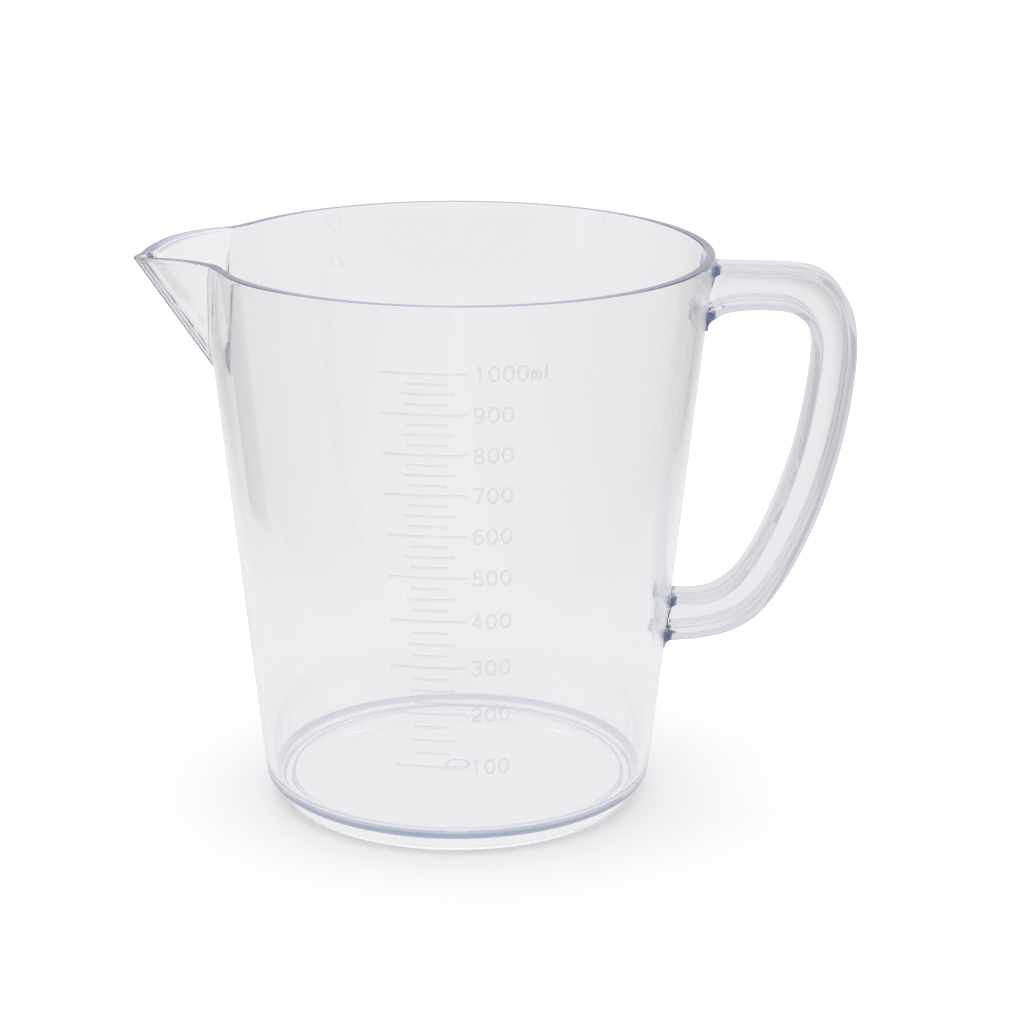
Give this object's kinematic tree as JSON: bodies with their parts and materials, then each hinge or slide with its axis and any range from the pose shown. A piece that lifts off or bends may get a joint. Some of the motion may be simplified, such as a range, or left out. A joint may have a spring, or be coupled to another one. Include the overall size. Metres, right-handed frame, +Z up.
{
  "type": "measuring jug",
  "caption": "Clear moulded measuring jug with a tapering round body, a pouring spout, an open loop handle and raised volume graduations.",
  "frame": {"origin": "on the jug's axis, in the plane that the foot ring stands on", "axes": "+Z up along the jug's axis, +X from the axis towards the handle, -X towards the spout, and the graduations face -Y"},
  "size_m": [0.1761, 0.125, 0.1387],
  "materials": {
    "clear_plastic": "clear and glossy, with a faint blue body colour that shows in the rim, the foot and the handle roots",
    "raised_marks": "the same clear plastic, standing slightly proud of the wall"
  },
  "bodies": {
    "root": {"body_wall": "clear_plastic", "base_floor": "clear_plastic", "foot_ring": "clear_plastic", "gate_mark": "clear_plastic", "pouring_spout": "clear_plastic", "handle_outer_rail": "clear_plastic", "handle_inner_rail": "clear_plastic", "handle_web": "clear_plastic", "handle_upper_root": "clear_plastic", "handle_lower_root": "clear_plastic", "hundred_lines": "raised_marks", "fifty_lines": "raised_marks", "quarter_lines": "raised_marks", "numerals": "raised_marks", "unit_mark": "raised_marks"}
  },
  "joints": []
}
